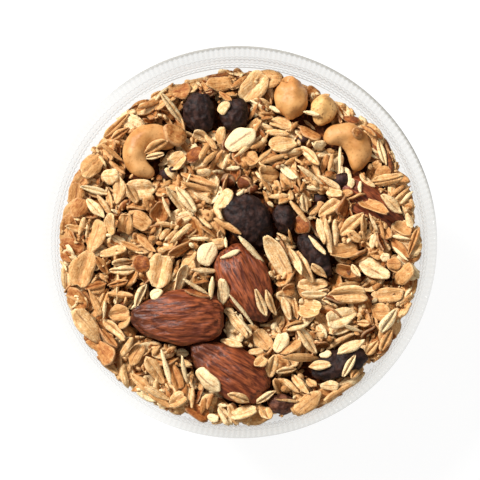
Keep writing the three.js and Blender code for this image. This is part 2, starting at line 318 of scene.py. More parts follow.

# %% [markdown]
# ### Where the sheet shows
#
# The sheet looks grey on some sides of the rim, where the light makes its bends and ribs show,
# and hardly shows elsewhere. This is painted on as shade. It could be painted on a texture;
# here each point of the mesh carries three numbers instead, which the finish reads: how dark
# a line of painted shade its bend gets, how much of a rib it is, and how much painted shade
# its side of the rim gets. They turn with the bowl.

# %% Sides of the rim where it shows, as painted shade
# Each is a direction seen from above, and the cosines from it where it starts and is full.
SHADED_SIDE = (radians(5), -0.69, -0.17)
MOST_SHADED_SIDE = (radians(286), 0.7, 0.98)
LIP_LINE = (radians(68), 0.35, 0.85)
COLLAR_LINE = (radians(354), -0.37, -0.1)
LEDGE_LINE = (radians(88), 0.77, 0.94)
LIP_FROM, BEND_FROM = collar_top + 1, collar_top - 0.1  # heights of the lines at the lip
LEDGE_MARK = 0.6  # of the marks further down, only the ledge's is above this
SHADE_BELOW_LIP = 0.3  # how much of the side's painted shade shows below the lip
UNSHADED_RIB = 0.15  # how much a rib shows away from the painted shade
INSIDE_BOX = 0.001  # keeps the rim just inside the CAD model's box


def between(value, low, high):
    """0 below low, 1 above high, smooth in between, for a plain number."""
    share = min(1, max(0, (value - low) / (high - low)))
    return share * share * (3 - 2 * share)


def on_side(way, side):
    """1 on that side of the rim, 0 away from it."""
    middle, low, high = side
    return between(cos(way - middle), low, high)


# %% Press the ribs and mark the sheet
for corner in bm.verts:
    radius, way = corner.co.xy.length, np.arctan2(corner.co.y, corner.co.x)
    line, wave = corner[look][0], 0.0
    # The side weights below are painted shade, set by how the light falls on each side of the rim
    most_shaded = on_side(way, MOST_SHADED_SIDE)
    if corner.co.z > LIP_FROM:
        line *= on_side(way, LIP_LINE)
    elif corner.co.z > BEND_FROM:
        line *= 0.6 * on_side(way, COLLAR_LINE) + 0.4 * most_shaded
    elif line > LEDGE_MARK:
        line *= on_side(way, LEDGE_LINE)
    # body is the painted shade of this side of the rim, not the sheet's thickness
    body = 0.5 * on_side(way, SHADED_SIDE) + 0.5 * most_shaded
    if corner.co.z > ledge_top - WALL / 2 and radius < RIM - 0.01:
        wave = 0.5 + 0.5 * cos(RIBS * way)
        corner.co.xy *= 1 - RIB_DEPTH * wave / radius
    corner.co.xy *= min(1, (RIM - INSIDE_BOX) / max(radius, 1))
    if corner.co.z < collar_top - WALL:
        body *= SHADE_BELOW_LIP
    corner[look] = (line, wave * (UNSHADED_RIB + (1 - UNSHADED_RIB) * body), body)

# %% [markdown]
# ### Clear plastic
#
# A thin clear sheet shows what is behind it, and only its edges, bends and ribs catch light.
# Glass with real refraction needs many bounces and stays noisy in so thin a sheet. So this is
# a mix of a see-through shader and a glossy pale grey one, whose share rises where the sheet
# is seen edge-on, on ribs, and where shade is painted on: at bends and on some sides of the rim.

# %% The bowl's finish
plastic = Finish("clear_plastic")
edge_on = plastic.add("LayerWeight", None, {"Blend": 0.5}, "Facing")
haze = plastic.noise(plastic.place(), 400)
sheen = {
    "Base Color": plastic.mix(haze, colour("#95928b"), colour("#aeaba4")),
    "Roughness": 0.08 + 0.08 * haze,
    "IOR": 1.5,
}
body = plastic.add("BsdfPrincipled", None, sheen)
clear = plastic.add("BsdfTransparent", None, {"Color": colour("#fcfcfb")})
# thick is the painted shade of each side of the rim and line the painted shade at bends; ribs show
# more on the shaded sides
_, line, rib, thick = plastic.own("plastic")
grazing = edge_on**4 * (0.2 + 0.25 * thick)
opaque = 0.015 + 0.025 * haze + grazing + 0.08 * rib + 0.9 * line + 0.13 * thick
shader = plastic.add("MixShader", None, {0: opaque, 1: clear, 2: body})
keep(bm, "clear_bowl", plastic.close(shader), "clear_plastic", "bowl")

# %% [markdown]
# ## Nuts and fruit
#
# A kernel is a ball whose rings are squeezed by a formula: u to the power of tip times
# (1 - u) to the power of butt makes one end pointed and the other blunt. That keeps the form
# of the CAD solids, and a finer ball leaves room for wrinkles. Every point remembers where it
# was before the piece was turned and placed, so that patterns can follow the kernel.

# %% Fill height, as in the CAD model
FILL_AT_WALL, FILL_DOME, FILL_LEAN, FILL_LUMPS = 42, 3, 0.9, 0.2


def fill_height(x, y):
    """Height of the bare heap, before flakes lie on it."""
    out = (x * x + y * y) / LEDGE**2
    lean = -(x + y) / 2**0.5 / LEDGE
    lumps = np.sin(x / 4.1 + 1) * np.sin(y / 4.7) + np.sin((x - y) / 7.3)
    return FILL_AT_WALL + FILL_DOME * (1 - out) + FILL_LEAN * lean + FILL_LUMPS * lumps


# %% Shapes of kernels and lumps
def ball(detail):
    bm = bmesh.new()
    bmesh.ops.create_uvsphere(bm, u_segments=detail, v_segments=detail * 2 // 3, radius=1)
    bmesh.ops.rotate(bm, matrix=Matrix.Rotation(-pi / 2, 3, "Y"), verts=bm.verts)
    return bm


def shape_kernel(bm, length, width, thickness, tip, butt):
    """Squeezes a unit ball along X into a kernel, tip to the left."""
    swell = lambda u: max(u, 0) ** tip * max(1 - u, 0) ** butt
    widest = swell(tip / (tip + butt))
    for point in bm.verts:
        x, y, z = point.co
        ring = max((y * y + z * z) ** 0.5, 1e-6)
        reach = swell((1 + x) / 2) / widest / ring
        point.co = (x * length / 2, y * reach * width / 2, z * reach * thickness / 2)


DENTS = 0.12  # how deep a lump is dented, as a share of its radius


def shape_lump(bm, length, width, thickness, waves):
    """Dents a unit ball and stretches it, for a dried fruit or a nut piece."""
    for point in bm.verts:
        x, y, z = point.co
        dent = sin(3.1 * x + waves[0]) + sin(3.7 * y + waves[1]) + sin(2.9 * z + waves[2])
        point.co *= 1 + DENTS * dent / 3
        point.co *= Vector((length / 2, width / 2, thickness / 2))


def bend_cashew(bm, radius):
    """Bends a straight kernel into an arc in the XY plane, open towards -Y."""
    for point in bm.verts:
        angle, out = point.co.x / radius, radius + point.co.y
        point.co = (out * sin(angle), out * cos(angle), point.co.z)


def crumple(bm, size, depth, ridged=False, stretch=(1, 1, 1), seed=0):
    """Pushes points along their normals by noise with lumps of that size."""
    bm.normal_update()
    shift = Vector((seed * 7.3, seed * 3.1, seed * 5.7))
    for point in bm.verts:
        where = Vector([c / size / s for c, s in zip(point.co, stretch)]) + shift
        level = noise.noise(where)
        if ridged:
            level = 0.5 - 2 * abs(level)
        point.co += point.normal * depth * level


def remember(bm):
    """Stores each point's own place, before the piece is turned and moved."""
    layer = bm.verts.layers.float_vector.new("own_place")
    for point in bm.verts:
        point[layer] = point.co * MM


MODEL_TOP = cad_box[1][2] / MM - 0.05  # nothing stands higher than the CAD model


def set_down(bm, at, rise, yaw, pitch, roll):
    """Turns a topping and puts it on the heap, as the CAD model does."""
    turn = Euler((radians(roll), radians(pitch), radians(yaw)), "XYZ").to_matrix().to_4x4()
    place = Matrix.Translation((*at, float(fill_height(*at)) + rise))
    bmesh.ops.transform(bm, matrix=place @ turn, verts=bm.verts)
    over = max(point.co.z for point in bm.verts) - MODEL_TOP
    if over > 0:
        bmesh.ops.translate(bm, vec=(0, 0, -over), verts=bm.verts)


toppings = []


def keep_topping(bm, node, kind, place, material, slot):
    """Puts a shaped topping on the heap, and lists it for the flakes that come later."""
    remember(bm)
    set_down(bm, *place)
    toppings.append(keep(bm, f"{node}_{kind}", material, slot, node))


# %% [markdown]
# ### Almonds
#
# A whole almond has a thin brown skin with furrows from its tip to its blunt end. Furrows as
# geometry alone would need a very dense mesh, and a bump alone leaves the outline too smooth.
# So the broad furrows are in the mesh, and the fine ones are noise stretched along the kernel,
# which gives both the relief and the colour: the skin's streaks, with painted shade in the
# furrows and painted highlight on the ridges.

# %% Almond skin
skin = Finish("almond_skin")
own, along, *_ = skin.own("own_place")
stretched = skin.add("Mapping", None, {0: own, "Scale": (0.16, 1, 1)})
furrows = skin.noise(stretched, 1500, detail=3, roughness=0.6)
patches = skin.noise(own, 260, detail=3)
# Darker in the furrows and lighter on the ridges: the skin's streaks, with painted shade and
# painted highlight
tone = skin.mix(skin.fade(furrows, 0.36, 0.68), colour("#451a0b"), colour("#a4562f"))
tone = skin.mix(skin.fade(patches, 0.35, 0.7) * 0.5, tone, colour("#6e3018"))
# The tip end is darkened: painted shade
clear_of_tip_shade = skin.fade(along, -0.0115, -0.001)
tone = skin.mix((1 - clear_of_tip_shade) * 0.6, tone, colour("#2f1a10"))
almond_skin = skin.surface(tone, 0.3 + 0.24 * furrows, 0.3, furrows, 0.75, 0.0005)

# %% Four almonds: length, width, thickness; x, y, rise, yaw, pitch, roll
ALMOND = {"tip": 0.62, "butt": 0.4}
almonds = {
    "almond_1": ((23.3, 13.4, 8), ((-15.4, -19.2), 2.6, 0, -2, 4)),
    "almond_2": ((21.4, 12.4, 7.6), ((-2.7, -32), 1.6, -32, 3, -6)),
    "almond_3": ((21, 12.5, 7.6), ((1.9, -10.8), 0.9, 115, 4, 8)),
    "almond_4": ((20.5, 11.5, 7.2), ((33.2, 9.3), -2.1, 145, 0, -10)),
}
for seed, (node, (sizes, place)) in enumerate(almonds.items()):
    bm = ball(96)
    shape_kernel(bm, *sizes, **ALMOND)
    crumple(bm, 1.7, 0.5, ridged=True, stretch=(5, 1, 1), seed=seed)
    crumple(bm, 4, 0.5, stretch=(2, 1, 1), seed=seed + 9)
    keep_topping(bm, node, "kernel", place, almond_skin, "almond_skin")

# %% [markdown]
# ### Cashews
#
# A cashew is a smooth pale kernel bent like a comma. A curve with a swelling radius would make
# one too. Bending a straight kernel into an arc keeps both its ends under the same formula as
# the almonds, and its own places stay straight for the patches.


# %% Nut flesh
def nut_flesh(name, light, dark, freckles):
    """Smooth pale flesh with soft patches, and freckles where it browned."""
    finish = Finish(name)
    own = finish.own("own_place")[0]
    patches = finish.noise(own, 220, detail=3)
    grain = finish.noise(own, 1700, detail=2)
    tone = finish.mix(finish.fade(patches, 0.35, 0.68), colour(light), colour(dark))
    tone = finish.mix(finish.fade(grain, 0.56, 0.7) * freckles, tone, colour("#8a4f22"))
    return finish.surface(tone, 0.42 + 0.15 * grain, 0.35, grain + patches, 0.3, 0.0003)


# %% Two cashews: width and thickness, bend radius, sweep
cashew_flesh = nut_flesh("cashew_flesh", "#d39c60", "#b5793c", 0.4)
CASHEW = {"tip": 0.4, "butt": 0.34}
cashews = {
    "cashew_1": ((6.4, 6.2), 4.6, 200, ((-21.8, 22.2), 1.4, 56, 4, 4)),
    "cashew_2": ((6.6, 6.2), 4.4, 150, ((25.9, 23), 1.6, -42, 6, -4)),
}
for seed, (node, (section, radius, sweep, place)) in enumerate(cashews.items()):
    bm = ball(72)
    shape_kernel(bm, radius * radians(sweep) + 0.7 * section[0], *section, **CASHEW)
    bend_cashew(bm, radius)
    crumple(bm, 3.2, 0.5, seed=seed)
    keep_topping(bm, node, "kernel", place, cashew_flesh, "cashew")

# %% [markdown]
# ### Nut pieces
#
# Two rounded pieces of another nut lie at the top, one browner and chipped at its end, one
# pale with freckles. A dented ball is enough for both, and the chip sinks a few points.

# %% Two nut pieces: sizes, where the dents are, and place
nuts = {
    "nut_1": ((8.7, 11.5, 7), (0.6, 2.2, 4.1), ((13, 37), 1.4, 4, 0, 4)),
    "nut_2": ((6.1, 8.2, 5), (3.0, 1.2, 0.4), ((21.2, 33.8), 1.6, -12, 6, 0)),
}
nut_finishes = [
    nut_flesh("brown_nut_flesh", "#cf985a", "#b87b40", 0.3),
    nut_flesh("speckled_nut_flesh", "#e2b473", "#c08a49", 0.75),
]
NOTCH = (-0.6, 5.6)  # where nut_1 is chipped at its outer end, from its own middle


def chip(bm, at, reach, depth):
    """Sinks the top of a nut in a small round dent."""
    for point in bm.verts:
        near = 1 - ((point.co.x - at[0]) ** 2 + (point.co.y - at[1]) ** 2) / reach**2
        if near > 0 and point.co.z > 0:
            point.co.z -= depth * near
            point.co.y -= depth * near * 0.6


for seed, (node, (sizes, waves, place)) in enumerate(nuts.items()):
    bm = ball(60)
    shape_lump(bm, *sizes, waves)
    crumple(bm, 2.6, 0.7, seed=seed + 3)
    if node == "nut_1":
        chip(bm, NOTCH, 1.7, 2.2)
    keep_topping(bm, node, "piece", place, nut_finishes[seed], "nut_piece")

# %% [markdown]
# ### Dried fruit
#
# The dark fruit is matt and wrinkled, nearly black, with brown only on the tops of its folds;
# the finish paints the folds darker than those tops, as shade. Shrinking a cloth skin would
# fold it too, but ridged noise along the normals gives the same deep folds in one step, and
# noise in the finish paints shade into the small ones.


# %% Fruit skin
def fruit_finish(name, dark, light, loose=False):
    """Matt wrinkled skin with painted shade in its folds; loose bits have no own places."""
    finish = Finish(name)
    place = finish.place() if loose else finish.own("own_place")[0]
    folds = finish.noise(place, 700, detail=4, roughness=0.62)
    # darker where the fold noise is low, in the hollows of the relief: painted shade
    tone = finish.mix(finish.fade(folds, 0.36, 0.7), colour(dark), colour(light))
    return finish.surface(tone, 0.45 + 0.25 * folds, 0.2, folds, 0.75, 0.0006)


fruit_skin = fruit_finish("fruit_skin", "#150907", "#3f2720")
brown_fruit_skin = fruit_finish("brown_fruit_skin", "#3a1c10", "#7a4c38")

# %% Seven fruits
fruits = {
    "dried_fruit_1": ((8.4, 9.9, 6), ((-10.2, 33), 1.5, 10, -5, 5)),
    "dried_fruit_2": ((7, 8, 5.6), ((-1.2, 32.4), 1.3, -20, 5, 0)),
    "dried_fruit_3": ((15, 10, 7), ((2.3, 5.3), 1.2, -50, 4, 0)),
    "dried_fruit_4": ((5.4, 7.4, 5.4), ((11.3, 5.8), 1, 12, 0, 6)),
    "dried_fruit_5": ((12.2, 6.2, 5.8), ((19, -3.3), 0.6, -55, 0, 0)),
    "dried_fruit_6": ((13.8, 6.6, 5.8), ((24.7, -30.4), 1, 20, 0, 0)),
    "dried_fruit_7": ((6, 4.8, 4.6), ((10.2, -40.6), 1, 0, 0, 0)),
}
for seed, (node, (sizes, place)) in enumerate(fruits.items()):
    bm = ball(72)
    shape_lump(bm, *sizes, waves=(seed, 2.1 * seed, 1.3 * seed))
    crumple(bm, 3.0, 0.5, ridged=True, stretch=(1, 1.7, 1), seed=seed)
    crumple(bm, 1.2, 0.35, seed=seed + 20)
    skin = brown_fruit_skin if node == "dried_fruit_7" else fruit_skin
    keep_topping(bm, node, "skin", place, skin, "dried_fruit")

# %% [markdown]
# ## The heap
#
# Granola is thousands of flakes, but only the outer ones show. So a core fills the bowl, with
# a crumbly relief and brown crumbs darkened nearly to black, which paints the shade in the gaps
# between flakes, and real flakes lie on it in a layer a few flakes deep. Each flake has its own
# outline, crease and curl. A rigid body simulation could drop them, but it is slow and hard to
# steer. Here they are let down one after another on a map of heights, so that each lies on
# those before it, as they do when they are poured.


# %% The core
def subdivided(points, longest):
    """The same line with no stretch longer than that."""
    line = [points[0]]
    for (r0, z0), (r1, z1) in zip(points, points[1:]):
        parts = max(1, int(np.ceil(np.hypot(r1 - r0, z1 - z0) / longest)))
        for i in range(1, parts + 1):
            line.append((r0 + (r1 - r0) * i / parts, z0 + (z1 - z0) * i / parts))
    return line


CORE_BELOW = 3.2  # the core's top under the bare heap
CORE_INSIDE = 2.2  # the core's side from the wall
CORE_STEP = 1.1  # between the points of its outline
RIM_FADE = 12  # how fast its top meets its side

floor_height = PANEL_RISE + WALL + CORE_INSIDE
side_top = FILL_AT_WALL - CORE_BELOW - 1
side = [
    (foot_inside, floor_height),
    (float(cavity_radius(floor_height)) - CORE_INSIDE, floor_height),
    (float(cavity_radius(side_top)) - CORE_INSIDE, side_top),
]
top_reach = side[-1][0]
outline = subdivided([(0, floor_height), *side, (0, side_top)], CORE_STEP)
bm = bmesh.new()
spun(bm, [bm.verts.new((r, 0, z)) for r, z in outline], steps=240, closest=1e-3)
for point in bm.verts:
    x, y, z = point.co
    if z > side_top - 1e-3:
        out = (x * x + y * y) ** 0.5 / top_reach
        rim = min(1, (1 - out) * RIM_FADE)
        point.co.z += (fill_height(x, y) - CORE_BELOW - side_top) * rim
crumple(bm, 2.3, 1.1, seed=2)
crumple(bm, 0.9, 0.5, seed=4)

# %% The core's finish, painted shade seen only in the gaps between flakes
core_shade_paint = Finish("crumb_painted_shade")
crumbs = core_shade_paint.noise(core_shade_paint.place(), 900, detail=3, roughness=0.65)
# the near-black stops paint the shade between flakes over the crumbs' brown
stops = [(0.3, "#200b04"), (0.52, "#4d220c"), (0.72, "#8f4f1f")]
tone = core_shade_paint.add("ValToRGB", {"stops": stops}, {0: crumbs})
core_finish = core_shade_paint.surface(tone, 0.7 + 0.1 * crumbs, 0.1, crumbs, 0.7, 0.0006)
keep(bm, "granola_core", core_finish, "oat_flakes", "granola")


# %% [markdown]
# ### One flake
#
# A rolled oat is an oval disc with a crease along its middle, cupped, bowed or twisted a
# little. All of them start from one flat blank, a grid given a thickness, with fewer faces
# where a flake is small or half hidden. A formula then gives each its own form.


# %% A flat blank for flakes
def flat_blank(columns, rows):
    """Points (u, v, side) and faces of a thin sheet: columns along it and rows across."""
    bm = bmesh.new()
    bmesh.ops.create_grid(bm, x_segments=columns, y_segments=rows, size=1)
    bmesh.ops.solidify(bm, geom=bm.faces[:], thickness=0.5)
    bmesh.ops.recalc_face_normals(bm, faces=bm.faces)
    bm.verts.index_update()
    points = np.array([point.co for point in bm.verts])
    faces = np.array([[corner.index for corner in face.verts] for face in bm.faces])
    points[:, 2] = np.sign(points[:, 2] - points[:, 2].mean())
    bm.free()
    return points, faces


BLANKS = {
    "oat_flakes": flat_blank(6, 4),
    "laid_flakes": flat_blank(12, 8),
    "oat_slivers": flat_blank(5, 2),
    "oat_crumbs": flat_blank(2, 2),
    "oat_flakes_at_wall": flat_blank(6, 4),
    "oat_flakes_behind": flat_blank(4, 3),
    "fruit_bits": flat_blank(12, 8),
}
flakes = {kind: [] for kind in BLANKS}
for kind, (_, faces) in BLANKS.items():
    print(kind, "have", len(faces), "faces each")


# %% Shape a flake from its blank
def flake_shape(
    kind, length, width, thick, crease=0.5, cup=0.0, bow=0.0, twist=0.0, point=0.0, ribs=0.0
):
    """One oat flake round its middle, and where each of its points is along and across it."""
    u, v, side = BLANKS[kind][0].T
    v = np.sign(v) * np.abs(v) ** 1.2
    p = u * np.sqrt(1 - v * v / 2)
    q = v * np.sqrt(1 - u * u / 2)
    angle = np.arctan2(q, p)
    waves = 2 * pi * chance.random(4)
    edge = 1 + 0.05 * np.sin(2 * angle + waves[0]) + 0.05 * np.sin(3 * angle + waves[1])
    edge += 0.04 * np.sin(5 * angle + waves[2])
    taper, notch = chance.uniform(-0.2, 0.2), chance.uniform(0, 0.2) * (crease > 0)
    x = length / 2 * p * edge * (1 - notch * np.exp(-((v / 0.3) ** 2)) * u**4)
    y = width / 2 * q * edge * (1 + taper * p) * np.maximum(1 - p * p, 0.02) ** (0.4 * point)
    lift = cup * width * q * q + bow * length * p * p + twist * width * p * q
    lift += 0.05 * width * np.sin(3.5 * p + waves[3])
    full = np.sqrt(1 - 0.8 * np.minimum(p * p + q * q, 1))
    groove = crease * thick * np.exp(-((q / 0.26) ** 2)) * (1 - p**4)
    groove += ribs * thick * 0.3 * np.cos(11 * q)
    z = lift + side * full * thick / 2 - groove * np.where(side > 0, 0.8, 0.2)
    return np.column_stack([x, y, z]), np.column_stack([p, q])


def turned(points, yaw, tilt, lean=0.0):
    """Points rolled by tilt about their length, leaning along it, then turned by yaw."""
    turn = Euler((radians(tilt), radians(lean), radians(yaw)), "XYZ").to_matrix()
    return points @ np.array(turn).T


# %% [markdown]
# ### Letting flakes down
#
# `heights` holds the top of everything so far on a square grid. A flake is tried at several
# places and turns; at each it sinks until its underside meets the map, and it stays where it
# comes to lie lowest against the fill. Its own top is then written into the map.

# %% The map of heights
CELL = 0.4
REACH = 47.0
cells = int(2 * REACH / CELL)
axis_places = (np.arange(cells) + 0.5) * CELL - REACH
grid_x, grid_y = np.meshgrid(axis_places, axis_places, indexing="ij")
heights = fill_height(grid_x, grid_y) - CORE_BELOW
topped = np.zeros_like(heights, bool)  # where nothing more may lie, or little


def cell_of(points):
    index = ((points[:, :2] + REACH) / CELL).astype(int)
    return tuple(np.clip(index, 0, cells - 1).T)


CLEAR_ABOVE = 0.4  # what shows of a topping stands this far above the bare heap
for topping in toppings:
    points = np.array([point.co for point in topping.data.vertices]) / MM
    above_fill = points[:, 2] - fill_height(points[:, 0], points[:, 1])
    points = points[above_fill > CLEAR_ABOVE]
    np.maximum.at(heights, cell_of(points), points[:, 2])
    if not topping.name.startswith("almond_4"):  # flakes lie on this one
        topped[cell_of(points)] = True

# %% Writing a flake into the map
SPOTS = (0.1, 0.37, 0.63, 0.9)  # where along and across a face its height is written
SPREAD = np.array(
    [[(1 - a) * (1 - b), a * (1 - b), a * b, (1 - a) * b] for a in SPOTS for b in SPOTS]
)


def record_top(points, faces, lasting=False):
    """Writes a placed flake into the map; a lasting one keeps later flakes off itself."""
    spots = np.einsum("fcd,sc->fsd", points[faces], SPREAD).reshape(-1, 3)
    cells_under = cell_of(spots)
    np.maximum.at(heights, cells_under, spots[:, 2])
    if lasting:
        topped[cells_under] = True


def let_down(points, at, sink, share=0.9):
    """The flake at that place, sunk to the map; share is how much of it must be above it."""
    placed = points + np.array([*at, 0])
    gaps = heights[cell_of(placed)] - placed[:, 2]
    placed[:, 2] += np.quantile(gaps, share) - sink
    placed[:, 2] -= max(0, placed[:, 2].max() - MODEL_TOP)
    return placed


# %% Where a flake may lie
LOW_SIDE = radians(125)  # the side where the heap is lower and stands back from the wall


def lowness(way):
    """1 in the middle of the low side, 0 opposite."""
    return (0.5 + 0.5 * cos(way - LOW_SIDE)) ** 3


def moved_inside(placed, clearance=0.1, back=1.4):
    """The flake pushed towards the axis until it is inside the wall."""
    middle = placed[:, :2].mean(axis=0)
    clearance += back * lowness(np.arctan2(middle[1], middle[0]))
    radius = np.hypot(placed[:, 0], placed[:, 1])
    over = (radius - cavity_radius(placed[:, 2]) + clearance).max()
    if over > 0:
        placed[:, :2] -= over * middle / np.hypot(*middle)
    return placed


def fits(placed, overhang=0.2, above=1.4):
    """True where it is not over a topping and not standing too high."""
    if topped[cell_of(placed)].mean() > overhang or placed[:, 2].max() > MODEL_TOP:
        return False
    centre = placed.mean(axis=0)
    return centre[2] < fill_height(*centre[:2]) + above


# %% How a flake lies
def random_tilt():
    """Degrees: most flakes lie flat, some lean on others, a few stand on edge."""
    draw = chance.random()
    if draw < 0.55:
        return chance.normal(0, 13)
    if draw < 0.86:
        return chance.choice([-1, 1]) * chance.uniform(18, 50)
    return chance.choice([-1, 1]) * chance.uniform(55, 90)


def leaned(points, at, share=0.8, apart=1.6, steepest=1.0):
    """The flake leaned with the slope that it will lie on."""
    spots = np.array(at) + apart * np.array([[1, 0], [-1, 0], [0, 1], [0, -1]])
    east, west, north, south = heights[cell_of(spots)]
    slope = np.clip([(east - west) / 2 / apart, (north - south) / 2 / apart], -steepest, steepest)
    normal = Vector((*(-share * slope), 1))
    turn = Vector((0, 0, 1)).rotation_difference(normal).to_matrix()
    return points @ np.array(turn).T


def lay(own, at, yaw, tilt, lean, share=0.9):
    """The flake turned, leaned with the slope under it and let down there."""
    sink = 0.1 + sin(radians(tilt)) ** 2
    placed = let_down(leaned(turned(own, yaw, tilt, lean), at), at, sink, share)
    return moved_inside(placed)


def keep_flake(kind, placed, spread, tone, lasting=False):
    record_top(placed, BLANKS[kind][1], lasting)
    flakes[kind].append((placed, spread, float(tone)))


# %% Pouring
POUR_REACH = 45.5
OUTWARD = 0.45  # 0.5 pours evenly, less puts more near the edge


def pour(kind, count, make, tries=7, bundle=0.0, **limits):
    """Drops flakes; each keeps the lowest of its tries, some with others alongside."""
    before = len(flakes[kind])
    for _ in range(count):
        own, spread = make(kind)
        tilt, lean = random_tilt(), chance.normal(0, 10)
        best, lowest = None, 1e9
        for _ in range(tries):
            way, yaw = chance.random() * 2 * pi, 360 * chance.random()
            out = POUR_REACH * chance.random() ** OUTWARD
            at = (out * cos(way), out * sin(way))
            placed = lay(own, at, yaw, tilt, lean)
            level = placed[:, 2].mean() - fill_height(*at)
            if level < lowest and fits(placed, **limits):
                best, lowest, spot = placed, level, (*at, yaw)
        if best is None:
            continue
        keep_flake(kind, best, spread, random_tone())
        if chance.random() < bundle:
            x, y, yaw = spot
            step, side = 0.0, radians(yaw + 90)
            for _ in range(chance.integers(1, 4)):
                step += chance.uniform(1.0, 1.7)
                own, spread = make(kind)
                at = (x + step * cos(side), y + step * sin(side))
                turn = yaw + chance.normal(0, 7)
                placed = lay(own, at, turn, tilt + chance.normal(0, 8), lean)
                if fits(placed, **limits):
                    keep_flake(kind, placed, spread, random_tone())
    print(kind, len(flakes[kind]) - before, "more")


def random_tone():
    """From 0, pale, to 1, dark toast."""
    return np.clip(chance.normal(0.42, 0.26), -0.05, 1)


# %% Three sorts of flake
def whole_flake(kind):
    length = 4.2 + 4.2 * chance.random() ** 1.3
    slim = chance.random() < 0.35
    return flake_shape(
        kind,
        length,
        length * (chance.uniform(0.3, 0.45) if slim else chance.uniform(0.5, 0.75)),
        chance.uniform(0.75, 1.25),
        crease=chance.choice([0, 0.7, 1.0, 1.3]),
        cup=chance.normal(0.0, 0.07),
        bow=chance.normal(0.0, 0.04),
        twist=chance.normal(0, 0.06),
        point=chance.random() if slim else 0,
    )


def sliver(kind):
    width = chance.uniform(0.8, 1.7)
    return flake_shape(
        kind,
        chance.uniform(2.2, 6.6),
        width,
        min(width, chance.uniform(0.7, 1.1)),
        crease=0,
        bow=chance.normal(0, 0.04),
        twist=chance.normal(0, 0.15),
        point=chance.random(),
    )


def crumb(kind):
    length = 0.6 + 1.6 * chance.random() ** 2
    return flake_shape(
        kind, length, length * chance.uniform(0.45, 0.9), length * chance.uniform(0.3, 0.6), 0
    )


# %% The first pour, and a ring along the wall
def along_wall(count, tries=4):
    """Lays flakes round the edge of the heap, each with its outer side at the wall."""
    before = len(flakes["oat_flakes"])
    for step in range(count):
        way = 2 * pi * (step + chance.random()) / count
        outward = np.array([cos(way), sin(way)])
        own, spread = whole_flake("oat_flakes")
        best, lowest = None, 1e9
        for _ in range(tries):
            yaw = np.degrees(way) + 90 + chance.normal(0, 35)
            lying = turned(own, yaw, chance.normal(0, 25), chance.normal(0, 8))
            at = (LEDGE - (lying[:, :2] @ outward).max()) * outward
            placed = moved_inside(let_down(lying, at, 0.5), clearance=0.05)
            level = placed[:, 2].mean()
            if level < lowest and fits(placed, overhang=0.15, above=1.5):
                best, lowest = placed, level
        if best is not None:
            keep_flake("oat_flakes", best, spread, random_tone())
    print("along the wall:", len(flakes["oat_flakes"]) - before)


pour("oat_flakes", 850, whole_flake, bundle=0.3, above=0.0)
along_wall(120)

# %% [markdown]
# ### Flakes that stand out
#
# Most flakes may lie anywhere, but some large, pale or oddly shaped ones are what one sees
# first. They are laid one by one between two pours, listed in millimetres from the bowl's
# middle, with a length, a width and the way they point. Each still comes to rest on the map,
# so it lies on whatever is under it, and the second pour may only just overlap it.

# %% Shades and forms of flake
SHADES = {
    "white": -0.04,
    "cream": 0.12,
    "straw": 0.26,
    "tan": 0.42,
    "toast": 0.62,
    "brown": 0.84,
    "dark": 1.1,
}
FORMS = {
    "broad": {"crease": 1.1, "thick": 0.95, "cup": 0.03},
    "plain": {"crease": 0, "thick": 1.0, "cup": -0.05},
    "lens": {"crease": 0.9, "thick": 1.2, "cup": -0.06, "point": 0.8},
    "stick": {"crease": 0, "thick": 1.1, "cup": -0.1, "point": 0.4},
    "curl": {"crease": 0.6, "thick": 0.8, "cup": 0.28, "bow": 0.06},
    "lobed": {"crease": 1.6, "thick": 1.5, "cup": -0.08},
    "ribbed": {"crease": 0, "thick": 1.2, "cup": -0.05, "ribs": 1},
    "lump": {"crease": 0, "thick": 2.8, "cup": -0.05},
}

